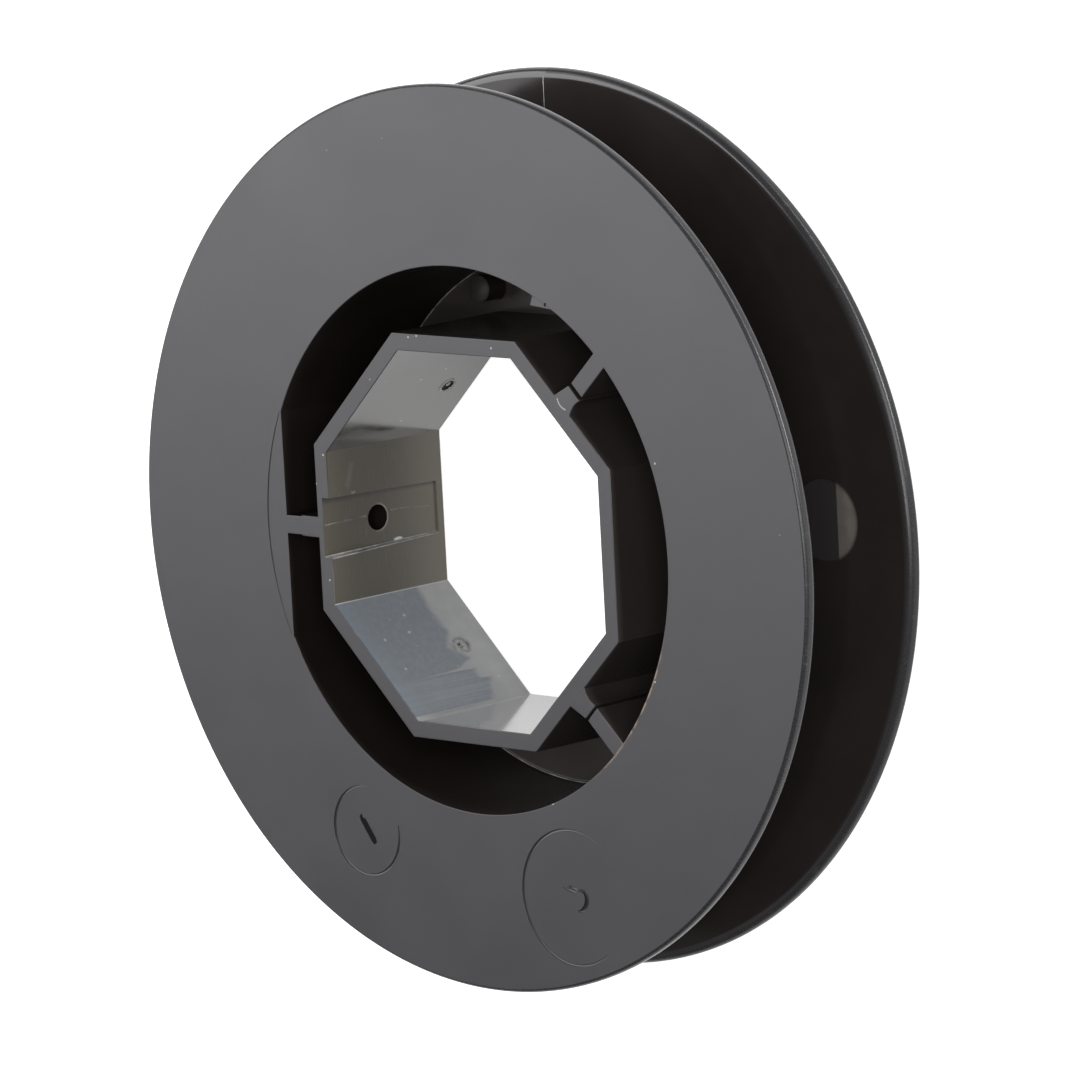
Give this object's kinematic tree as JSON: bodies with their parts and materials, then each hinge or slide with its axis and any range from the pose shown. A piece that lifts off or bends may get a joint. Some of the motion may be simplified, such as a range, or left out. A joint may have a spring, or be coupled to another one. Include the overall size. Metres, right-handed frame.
{
  "type": "roller shutter belt pulley",
  "caption": "Flat belt pulley for a roller shutter: a plastic drum between wide round flanges, with an octagonal sleeve for the shaft, ribs and a screw hole for the belt's end.",
  "frame": {"origin": "centre of the outer face of the back flange, on the shaft axis", "axes": "+Z along the shaft axis towards the open front face, -X towards the drum's straight wall and the screw hole, +Y completes the frame"},
  "size_m": [0.147, 0.147, 0.0268],
  "materials": {
    "pulley_plastic": "dark grey moulded plastic, soft sheen outside, glossy in the belt groove"
  },
  "bodies": {
    "root": {"belt_pulley": "pulley_plastic"}
  },
  "joints": []
}
